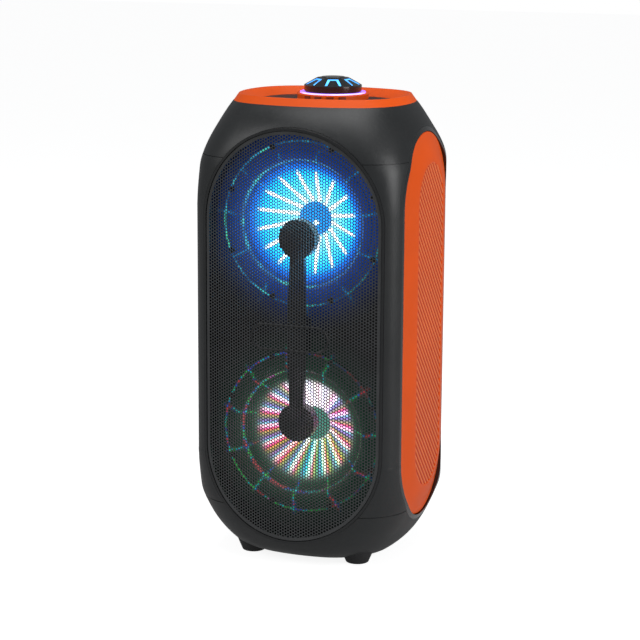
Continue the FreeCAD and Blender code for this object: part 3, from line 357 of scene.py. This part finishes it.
# ---------------------------------------------------------------- finishes
upper_z = sum(corner[2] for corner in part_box("upper_cone")) / 2
lower_z = sum(corner[2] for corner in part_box("lower_cone")) / 2
cabinet_black = finish_material("cabinet_black", (0.015, 0.0165, 0.0175), 0.40, grain=(1400.0, 0.00006), dust=0.05)
moulded_orange = finish_material("moulded_orange", (0.86, 0.098, 0.003), 0.46, grain=(1100.0, 0.00003),
                                 patches=(9.0, 0.05), dust=0.02, specular=0.28)
# Keys a darker orange than the ring: painted shade for the shadowed notches round the knob's pedestal.
shaded_key_orange = finish_material("shaded_key_orange", (0.30, 0.028, 0.003), 0.45, grain=(1100.0, 0.00003), dust=0.03)
gloss_black = finish_material("gloss_black", (0.008, 0.009, 0.010), 0.16, grain=(500.0, 0.00001), dust=0.06,
                              coat=0.4)
deck_black = finish_material("deck_black", (0.010, 0.010, 0.011), 0.5, grain=(1600.0, 0.00008), dust=0.10)
satin_black = finish_material("satin_black", (0.010, 0.011, 0.012), 0.38, grain=(1000.0, 0.00004), dust=0.08)
grille_black = finish_material("grille_black", (0.052, 0.054, 0.056), 0.34, metallic=0.3, grain=(2600.0, 0.00003),
                               patches=(30.0, 0.12), dust=0.10, specular=0.6)
paper_black = dict(colour=(0.010, 0.010, 0.012), roughness=0.7, grain=(700.0, 0.0001), patches=(40.0, 0.15))
rubber_black = dict(colour=(0.010, 0.010, 0.011), roughness=0.55, grain=(1200.0, 0.00003), patches=(25.0, 0.1))
foot_rubber = finish_material("foot_rubber", (0.018, 0.018, 0.019), 0.6, grain=(900.0, 0.00008), dust=0.2)
zinc = finish_material("zinc", (0.52, 0.53, 0.52), 0.32, metallic=1.0, grain=(1500.0, 0.00002), dust=0.05)
copper = finish_material("copper", (0.75, 0.33, 0.16), 0.3, metallic=1.0, grain=(3000.0, 0.00005), dust=0.05)
ferrite = finish_material("ferrite", (0.045, 0.045, 0.048), 0.6, grain=(1200.0, 0.0001), dust=0.1)
aluminium = finish_material("aluminium", (0.62, 0.63, 0.65), 0.35, metallic=1.0, grain=(900.0, 0.00003), dust=0.05)
battery_wrap = finish_material("battery_wrap", (0.02, 0.08, 0.30), 0.25, grain=(600.0, 0.00002), dust=0.05,
                               coat=0.4)
pressed_steel = finish_material("pressed_steel", (0.02, 0.021, 0.022), 0.35, metallic=0.4, grain=(1400.0, 0.00003))


def shaded_valley_orange_material(valley):
    """Panel orange with painted shade in the valleys between the ribs, which lie nearer to the cabinet's middle."""
    finish = make_finish("ribbed_orange_shaded_valleys", (0.90, 0.22, 0.065), 0.5, grain=(1100.0, 0.00003), patches=(9.0, 0.05),
                         dust=0.02, specular=0.3)
    tree = finish.tree
    crest = tree.band(tree.calc("ABSOLUTE", tree.split(tree.place())["X"]), valley, valley + rib_depth)
    # Painted shade: a deep red-orange in the rib valleys, blending into the panel's own tone on the crests.
    tree.put(finish.shader.inputs["Base Color"], tree.mix(crest, (0.60, 0.03, 0.001, 1.0), finish.tone))
    return finish.material


def spider_cloth_material():
    """Resin-dipped weave: fine crossed threads on a honey-coloured cloth."""
    finish = make_finish("spider_cloth", (0.55, 0.34, 0.12), 0.8, grain=(900.0, 0.0001), dust=0.05)
    tree = finish.tree
    warp, weft = [tree.add("ShaderNodeTexWave", {"Vector": tree.place(), "Scale": 420.0},
                           bands_direction=along).outputs["Fac"] for along in "XZ"]
    threads = tree.times(warp, weft)
    tree.put(finish.shader.inputs["Base Color"], tree.mix(tree.times(threads, 0.4), finish.tone,
                                                          (0.2, 0.11, 0.03, 1.0)))
    tree.put(finish.bump.inputs["Height"], threads)
    return finish.material


def circuit_board_material():
    """Green solder mask with lighter copper tracks under it."""
    finish = make_finish("circuit_board", (0.01, 0.12, 0.04), 0.35, grain=(1200.0, 0.00002), dust=0.05)
    tree = finish.tree
    tracks = tree.add("ShaderNodeTexBrick", {"Vector": tree.place(), "Scale": 160.0, "Mortar Size": 0.03})
    tree.put(finish.shader.inputs["Base Color"], tree.mix(tree.times(tracks.outputs["Fac"], 0.7), finish.tone,
                                                          (0.05, 0.30, 0.10, 1.0)))
    return finish.material


def board_wood_finish():
    """Black-stained fibreboard with short fibres."""
    finish = make_finish("board_wood", (0.012, 0.011, 0.010), 0.75, grain=(500.0, 0.0002), patches=(60.0, 0.3))
    tree = finish.tree
    stretched = tree.add("ShaderNodeMapping", {"Vector": tree.place(), "Scale": (1.0, 1.0, 6.0)}).outputs[0]
    fibre = tree.add("ShaderNodeTexNoise", {"Vector": stretched, "Scale": 300.0, "Detail": 4.0}).outputs["Fac"]
    tree.put(finish.bump.inputs["Height"], fibre)
    return finish


def light_material(name, middle, edge, strength, scale):
    """Lit diffuser: a bright middle tone with a slightly uneven, deeper glow towards its edges."""
    finish = make_finish(name, edge, 0.3, grain=(800.0, 0.00001), dust=0.0)
    tree = finish.tree
    facing = tree.add("ShaderNodeLayerWeight", {"Blend": 0.35}).outputs["Facing"]
    share = tree.times(tree.band(tree.noise(scale, 1.0), 0.35, 0.65, 0.6, 1.0), tree.band(facing, 0.9, 0.3))
    lit(tree, finish.shader, tree.mix(share, (*edge, 1.0), (*middle, 1.0)), strength)
    return finish.material


def dress(material, *names):
    """Give solid-model nodes one finish."""
    for name in names:
        slots = nodes[name].data.materials
        slots.clear()
        slots.append(material)


def dress_woofers():
    """Cones, rubber and steel lit by their pods; plain finishes on what lies behind them."""
    spider = spider_cloth_material()
    for side, glow, centre_z in (("upper", blue_glow, upper_z), ("lower", mixed_glow, lower_z)):
        cone = add_glows(make_finish(side + "_lit_cone", **paper_black), [(glow, centre_z)], 3.2)
        edge = add_glows(make_finish(side + "_lit_rubber", **rubber_black), [(glow, centre_z)], 2.4)
        steel = add_glows(make_finish(side + "_lit_steel", (0.02, 0.021, 0.022), 0.35, metallic=0.4),
                          [(glow, centre_z)], 2.4)
        dress(cone, side + "_cone", side + "_dust_cap")
        dress(edge, side + "_surround")
        dress(steel, side + "_basket")
        dress(pressed_steel, side + "_yoke")
        dress(ferrite, side + "_magnet")
        dress(copper, side + "_voice_coil")
        dress(spider, side + "_spider")


dress_woofers()
# The baffle's forward faces carry both pods' light, painted on as emission over the stained wood.
dress(add_glows(board_wood_finish(), [(blue_glow, upper_z), (mixed_glow, lower_z)], 2.2), "front_baffle")
dress(cabinet_black, "top_cap", "front_shell", "rear_shell", "bottom_cap")
dress(moulded_orange, "top_trim_ring", "knob_pedestal")
dress(shaded_key_orange, "source_key", "previous_key", "next_key", "light_key")
dress(gloss_black, "left_panel_rim", "right_panel_rim", "volume_knob", "knob_cap")
dress(deck_black, "control_deck")
dress(satin_black, "grille_frame", "light_bridge", "jack_plate", "rear_grip", "bass_port", "rocker_housing",
      "power_inlet", "power_rocker", "audio_jacks")
dress(light_material("violet_diffuser", (0.80, 0.72, 1.0), (0.28, 0.10, 1.0), 1.6, 60.0), "knob_light_ring")
dress(light_material("cyan_diffuser", (0.16, 0.72, 1.0), (0.01, 0.16, 0.95), 1.5, 120.0), "knob_light_guide")
dress(light_material("lens_frost", (0.5, 0.8, 1.0), (0.2, 0.4, 1.0), 0.6, 90.0), "led_lenses")
dress(circuit_board_material(), "led_boards", "control_board", "amplifier_board")
dress(foot_rubber, "feet")
dress(zinc, "shell_screws", "small_screws", "encoder_shaft", "usb_socket", "encoder_housing", "battery_bracket")
dress(pressed_steel, "woofer_screws")
dress(battery_wrap, "battery_pack")
dress(aluminium, "heat_sink")


# ---------------------------------------------------------------- mesh helpers
def new_piece(name, mesh, material, smooth=radians(35)):
    """Finished mesh as a piece that rides on the cabinet."""
    piece = bpy.data.objects.new(name, mesh)
    bpy.context.scene.collection.objects.link(piece)
    if not mesh.materials:
        mesh.materials.append(material)
    mesh.shade_smooth()
    mesh.set_sharp_from_angle(angle=smooth)
    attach(piece, "cabinet")
    return piece


def stadium_loop(half_width, straight, centre, arc_steps=40, straight_steps=24):
    """Points of an upright stadium outline as (across, up), anticlockwise from the lower right."""
    points = []
    for side, start in ((1, 0.0), (-1, pi)):
        for i in range(straight_steps):
            points.append((side * half_width, centre - side * (straight / 2 - straight * i / straight_steps)))
        for i in range(arc_steps):
            a = start + pi * i / arc_steps
            points.append((half_width * cos(a), centre + side * straight / 2 + half_width * sin(a)))
    return points


def skin(loops, closed_start=False, closed_end=False, ring=False):
    """Mesh of quads between loops of equal length, with ends filled or joined round."""
    form = bmesh.new()
    rows = [[form.verts.new(p) for p in loop] for loop in loops]
    pairs = list(zip(rows, rows[1:])) + ([(rows[-1], rows[0])] if ring else [])
    for low, high in pairs:
        for i in range(len(low)):
            j = (i + 1) % len(low)
            form.faces.new((low[i], low[j], high[j], high[i]))
    if closed_start:
        form.faces.new(rows[0][::-1])
    if closed_end:
        form.faces.new(rows[-1])
    bmesh.ops.recalc_face_normals(form, faces=form.faces)
    mesh = bpy.data.meshes.new("skin")
    form.to_mesh(mesh)
    form.free()
    return mesh


# ---------------------------------------------------------------- geometry-node builders
class GeometryTree(Tree):
    """Node tree for a geometry modifier with named inputs."""

    def __init__(self, name, inputs):
        super().__init__(bpy.data.node_groups.new(name, "GeometryNodeTree"))
        face = self.tree.interface
        face.new_socket("Geometry", in_out="OUTPUT", socket_type="NodeSocketGeometry")
        self.identifiers = {}
        for label, kind, value in inputs:
            socket = face.new_socket(label, in_out="INPUT", socket_type=kind)
            if value is not None:
                socket.default_value = value
            self.identifiers[label] = socket.identifier
        self.given = self.add("NodeGroupInput").outputs
        self.out = self.add("NodeGroupOutput").inputs

    def where(self):
        """Coordinates of each point at this stage."""
        return self.split(self.add("GeometryNodeInputPosition").outputs[0])

    def move(self, geometry, x, y, z):
        return self.add("GeometryNodeSetPosition", {"Geometry": geometry, "Position": self.join(x, y, z)}).outputs[0]

    def delete_faces(self, geometry, selection):
        return self.add("GeometryNodeDeleteGeometry", {"Geometry": geometry, "Selection": selection},
                        domain="FACE").outputs[0]

    def inside_stadium(self, across, up, half_width, straight):
        """True where a point lies inside a stadium centred on the origin."""
        past = self.calc("MAXIMUM", self.minus(self.calc("ABSOLUTE", up), self.times(straight, 0.5)), 0.0)
        return self.calc("LESS_THAN", self.length(across, past), half_width)

    def close(self, geometry):
        """Realize, dress and hand out the result."""
        real = self.add("GeometryNodeRealizeInstances", {0: geometry}).outputs[0]
        dressed = self.add("GeometryNodeSetMaterial", {"Geometry": real, "Material": self.given["Material"]})
        self.put(self.out["Geometry"], dressed.outputs[0])

    def mesh(self, name, values):
        """Plain mesh that the tree makes with these input values."""
        carrier = bpy.data.objects.new("carrier", bpy.data.meshes.new("carrier"))
        bpy.context.scene.collection.objects.link(carrier)
        modifier = carrier.modifiers.new("form", "NODES")
        modifier.node_group = self.tree
        for label, value in values.items():
            modifier[self.identifiers[label]] = value
        graph = bpy.context.evaluated_depsgraph_get()
        mesh = bpy.data.meshes.new_from_object(carrier.evaluated_get(graph))
        mesh.name = name
        bpy.data.objects.remove(carrier)
        return mesh


def perforated_sheet_tree():
    """Bowed steel sheet with staggered hexagonal holes, between two heights."""
    tree = GeometryTree("perforated_sheet", [
        ("Half Width", "NodeSocketFloat", 0.1), ("Straight", "NodeSocketFloat", 0.27),
        ("Centre Z", "NodeSocketFloat", 0.28), ("Front Y", "NodeSocketFloat", -0.12),
        ("Bow", "NodeSocketFloat", grille_bow), ("Thickness", "NodeSocketFloat", sheet_thickness),
        ("Pitch", "NodeSocketFloat", hole_pitch), ("Hole Share", "NodeSocketFloat", hole_share),
        ("Low Z", "NodeSocketFloat", -1.0), ("High Z", "NodeSocketFloat", 1.0),
        ("Material", "NodeSocketMaterial", None)])
    given = tree.given
    half_width, straight, pitch = given["Half Width"], given["Straight"], given["Pitch"]
    bow, thickness = given["Bow"], given["Thickness"]

    # A grid sheared into equal triangles, whose dual is the honeycomb of cells.  The extra height makes up for the
    # shear, which lifts one side and lowers the other.
    column = tree.times(pitch, sqrt(3) / 2)
    wide = tree.plus(tree.times(half_width, 2.0), grid_spare)
    tall = tree.plus(tree.plus(straight, tree.times(wide, 1.7)), grid_spare)
    columns = tree.calc("ROUND", tree.over(wide, column))
    rows = tree.calc("ROUND", tree.over(tall, pitch))
    grid = tree.add("GeometryNodeMeshGrid", {
        "Size X": tree.times(columns, column), "Size Y": tree.times(rows, pitch),
        "Vertices X": tree.plus(columns, 1.0), "Vertices Y": tree.plus(rows, 1.0)}).outputs[0]
    at = tree.where()
    lattice = tree.move(grid, at["X"], tree.plus(at["Y"], tree.times(at["X"], 1 / sqrt(3))), 0.0)
    triangles = tree.add("GeometryNodeTriangulate", {0: lattice}).outputs[0]
    cells = tree.add("GeometryNodeDualMesh", {0: triangles}).outputs[0]

    at = tree.where()
    height = tree.plus(at["Y"], given["Centre Z"])
    keep = tree.inside_stadium(at["X"], at["Y"], half_width, straight)
    for test, limit in (("GREATER_THAN", given["Low Z"]), ("LESS_THAN", given["High Z"])):
        keep = tree.times(keep, tree.calc(test, height, limit))
    cells = tree.delete_faces(cells, tree.calc("LESS_THAN", keep, 0.5))

    # A hole in each cell, which leaves the web between them.
    cut = tree.add("GeometryNodeExtrudeMesh", {"Mesh": cells, "Offset Scale": 0.0, "Individual": True},
                   mode="FACES").outputs
    shrunk = tree.add("GeometryNodeScaleElements", {"Geometry": cut["Mesh"], "Selection": cut["Top"],
                                                    "Scale": given["Hole Share"]}, domain="FACE").outputs[0]
    web = tree.delete_faces(shrunk, cut["Top"])

    # The web stood up and bowed, then given its thickness.
    at = tree.where()
    sag = tree.minus(bow, tree.calc("SQRT", tree.minus(tree.times(bow, bow), tree.times(at["X"], at["X"]))))
    back_y = tree.plus(tree.plus(given["Front Y"], thickness), sag)
    back = tree.move(web, at["X"], back_y, tree.plus(at["Y"], given["Centre Z"]))
    forward = tree.join(0.0, tree.times(thickness, -1.0), 0.0)
    front = tree.add("GeometryNodeExtrudeMesh", {"Mesh": back, "Offset": forward, "Offset Scale": 1.0,
                                                 "Individual": False}, mode="FACES").outputs["Mesh"]
    behind = tree.add("GeometryNodeFlipFaces", {0: back}).outputs[0]
    whole = tree.add("GeometryNodeJoinGeometry")
    tree.put(whole.inputs[0], front)
    tree.put(whole.inputs[0], behind)
    tree.close(tree.add("GeometryNodeMergeByDistance", {"Geometry": whole.outputs[0],
                                                        "Distance": weld_distance}).outputs[0])
    return tree


def rib_field_tree():
    """Sheet of fine slanting ribs, trimmed to a stadium; it lies across X, facing one side."""
    tree = GeometryTree("rib_field", [
        ("Half Width", "NodeSocketFloat", field_half_width), ("Straight", "NodeSocketFloat", 0.3),
        ("Centre Z", "NodeSocketFloat", 0.29), ("Face X", "NodeSocketFloat", 0.137), ("Side", "NodeSocketFloat", 1.0),
        ("Pitch", "NodeSocketFloat", rib_pitch), ("Depth", "NodeSocketFloat", rib_depth),
        ("Tilt", "NodeSocketFloat", rib_tilt), ("Material", "NodeSocketMaterial", None)])
    given = tree.given
    half_width, straight, pitch, tilt = given["Half Width"], given["Straight"], given["Pitch"], given["Tilt"]

    # Ribs run along X of the grid, which reaches past the stadium whichever way it is turned.
    span = tree.plus(straight, tree.times(half_width, 2.4))
    ribs = tree.calc("ROUND", tree.over(span, pitch))
    grid = tree.add("GeometryNodeMeshGrid", {
        "Size X": span, "Size Y": tree.times(ribs, pitch),
        "Vertices X": tree.calc("ROUND", tree.over(span, rib_step)),
        "Vertices Y": tree.plus(tree.times(ribs, rib_rows), 1.0)}).outputs[0]
    at = tree.where()
    phase = tree.calc("FRACT", tree.plus(tree.over(at["Y"], pitch), phase_shift))
    raised = tree.calc("LESS_THAN", tree.calc("ABSOLUTE", tree.minus(phase, rib_middle)), rib_half_share)
    cosine, sine = tree.calc("COSINE", tilt), tree.calc("SINE", tilt)
    field = tree.move(grid, tree.plus(tree.times(at["X"], cosine), tree.times(at["Y"], sine)),
                      tree.minus(tree.times(at["Y"], cosine), tree.times(at["X"], sine)),
                      tree.times(raised, given["Depth"]))
    at = tree.where()
    keep = tree.inside_stadium(at["X"], at["Y"], half_width, straight)
    field = tree.delete_faces(field, tree.calc("LESS_THAN", keep, 0.5))
    at = tree.where()
    tree.close(tree.move(field, tree.times(tree.plus(given["Face X"], at["Z"]), given["Side"]), at["X"],
                         tree.plus(at["Y"], given["Centre Z"])))
    return tree


# ---------------------------------------------------------------- front grille
def make_grille():
    """Perforated sheet in two halves, a plain rim band round it and a raised pill outline for the badge."""
    low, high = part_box("front_grille")
    half = high[0]
    centre = (low[2] + high[2]) / 2
    straight = high[2] - low[2] - 2 * half
    front = low[1] + sheet_set_back
    material = grille_black

    def sag(x):
        return grille_bow - sqrt(grille_bow ** 2 - x * x)

    def row(points, lift):
        return [(x, front + sag(x) + lift, z) for x, z in points]

    tree = perforated_sheet_tree()
    split = centre + 0.3 * hole_pitch       # between two rows of cell centres, so that each cell falls in one half
    pieces = []
    for name, low_z, high_z in (("grille_upper_sheet", split, 1.0), ("grille_lower_sheet", -1.0, split)):
        mesh = tree.mesh(name, {
            "Half Width": half - border_width * border_overlap, "Straight": straight, "Centre Z": centre,
            "Front Y": front, "Low Z": low_z, "High Z": high_z, "Material": material})
        pieces.append(new_piece(name, mesh, material))
    outer = stadium_loop(half, straight, centre)
    inner = stadium_loop(half - border_width, straight, centre)
    soft = stadium_loop(half - 0.5 * MM, straight, centre)
    band = skin([row(outer, 1.2 * MM), row(outer, 0.3 * MM), row(soft, -0.15 * MM), row(inner, -0.15 * MM),
                 row(inner, 1.2 * MM)], ring=True)
    pieces.append(new_piece("grille_rim_band", band, material))

    long, tall = badge_size[0] / 2, badge_size[1] / 2

    def pill_row(inset, lift):
        """Outline of the badge, inset by a share of the line's width."""
        turned = stadium_loop(tall - badge_line * inset, 2 * (long - tall), 0.0, 24, 30)
        return row([(-up, centre + badge_lift + across) for across, up in turned], lift)

    line = skin([pill_row(0.0, 0.4 * MM), pill_row(0.0, -0.2 * MM), pill_row(0.3, -0.75 * MM),
                 pill_row(0.7, -0.75 * MM), pill_row(1.0, -0.2 * MM), pill_row(1.0, 0.4 * MM)], ring=True)
    pieces.append(new_piece("grille_badge_line", line, satin_black))
    for piece in pieces:
        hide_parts("front_grille")


# ---------------------------------------------------------------- side panels
def make_side_panel(name, side, tree):
    """Orange panel: rounded edge, long soft chamfer, a lip, and a sunk field of slanting ribs."""
    low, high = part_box(name)
    half = high[1]
    centre = (low[2] + high[2]) / 2
    straight = high[2] - low[2] - 2 * half
    face = max(abs(low[0]), abs(high[0]))
    back = min(abs(low[0]), abs(high[0]))
    edge = face - panel_edge_drop
    valley = face - field_sink

    def row(half_width, depth):
        return [(side * depth, y, z) for y, z in stadium_loop(half_width, straight, centre)]

    rows = [row(half, back), row(half, edge - panel_edge_round), row(half - 0.5 * MM, edge - 0.5 * MM),
            row(half - panel_edge_round, edge)]
    chamfer = half - panel_edge_round - field_half_width
    for i in range(1, chamfer_steps + 1):
        t = i / chamfer_steps
        rise = t * t * (3 - 2 * t) * 0.55 + t * 0.45
        rows.append(row(half - panel_edge_round - chamfer * t, edge + (face - edge) * rise))
    rows += [row(field_half_width - 0.8 * MM, face), row(field_half_width - 1.6 * MM, face - 0.5 * MM),
             row(field_half_width - 2.0 * MM, face - 2.2 * MM)]
    material = moulded_orange
    panel = new_piece(name + "_skin", skin(rows, closed_start=True, closed_end=True), material)
    ribbed = shaded_valley_orange_material(valley)
    mesh = tree.mesh(name + "_ribs", {"Half Width": field_half_width - field_clearance, "Straight": straight,
                                      "Centre Z": centre, "Face X": valley, "Side": float(side),
                                      "Material": ribbed})
    if sum(polygon.normal.x for polygon in mesh.polygons) * side < 0:
        mesh.flip_normals()
    ribs = new_piece(name + "_ribs", mesh, ribbed, smooth=radians(20))
    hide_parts(name)
    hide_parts(name)


make_grille()
ribs_tree = rib_field_tree()
make_side_panel("right_side_panel", 1, ribs_tree)
make_side_panel("left_side_panel", -1, ribs_tree)


# ---------------------------------------------------------------- floor, light and camera
def seen_white(tree, colour):
    """White to the camera and this colour to everything else."""
    return tree.mix(tree.add("ShaderNodeLightPath").outputs["Is Camera Ray"], colour, WHITE)


def make_studio():
    """White floor and sky that the camera sees as plain white, and three soft lamps."""
    floor_mesh = bpy.data.meshes.new("studio_floor")
    reach = 12.0
    floor_mesh.from_pydata([(-reach, -reach, 0), (reach, -reach, 0), (reach, reach, 0), (-reach, reach, 0)], [],
                           [(0, 1, 2, 3)])
    floor = bpy.data.objects.new("studio_floor", floor_mesh)
    bpy.context.scene.collection.objects.link(floor)
    paper = make_finish("studio_paper", (0.42, 0.42, 0.42), 0.9, grain=(300.0, 0.00005), patches=(3.0, 0.01),
                        dust=0.0)
    lit(paper.tree, paper.shader, seen_white(paper.tree, (0.16, 0.16, 0.16, 1.0)), 0.88)
    floor_mesh.materials.append(paper.material)

    world = bpy.data.worlds.new("studio")
    bpy.context.scene.world = world
    world.use_nodes = True
    world.node_tree.nodes.clear()
    tree = Tree(world.node_tree)
    sky = tree.add("ShaderNodeBackground", {"Color": seen_white(tree, (0.20, 0.205, 0.21, 1.0))})
    tree.put(tree.add("ShaderNodeOutputWorld").inputs["Surface"], sky.outputs[0])

    def area(name, place, target, size, power):
        lamp = bpy.data.lights.new(name, "AREA")
        lamp.shape, lamp.size, lamp.size_y = "RECTANGLE", *size
        lamp.energy = power
        holder = bpy.data.objects.new(name, lamp)
        aim = Vector(place) - Vector(target)
        holder.matrix_world = Matrix.Translation(place) @ aim.to_track_quat("Z", "Y").to_matrix().to_4x4()
        bpy.context.scene.collection.objects.link(holder)

    area("key_left", (-1.9, -2.0, 1.9), (0.0, 0.0, 0.35), (1.0, 1.4), 24.0)
    area("panel_right", (2.4, -0.6, 1.1), (0.1, 0.0, 0.28), (1.2, 1.6), 30.0)
    area("top_soft", (0.1, -0.2, 2.3), (0.0, 0.0, 0.4), (1.5, 1.5), 20.0)


def make_camera():
    """Camera to the right of the front and a little above, with the speaker upright."""
    target = Vector((0.0, 0.0, 0.2864))
    back = Vector((0.3353, -0.9196, 0.2048)).normalized()
    distance, roll = 2.541, radians(0.39)
    data = bpy.data.cameras.new("view_camera")
    data.lens, data.sensor_width = 114.3, 36.0
    data.shift_x, data.shift_y = -0.0061, 0.0011
    data.clip_end = 100.0
    camera = bpy.data.objects.new("view_camera", data)
    aim = back.to_track_quat("Z", "Y").to_matrix().to_4x4()
    camera.matrix_world = Matrix.Translation(target + back * distance) @ aim @ Matrix.Rotation(roll, 4, "Z")
    bpy.context.scene.collection.objects.link(camera)
    bpy.context.scene.camera = camera


make_studio()
make_camera()
bpy.context.scene.view_settings.view_transform = "Standard"
bpy.context.view_layer.update()
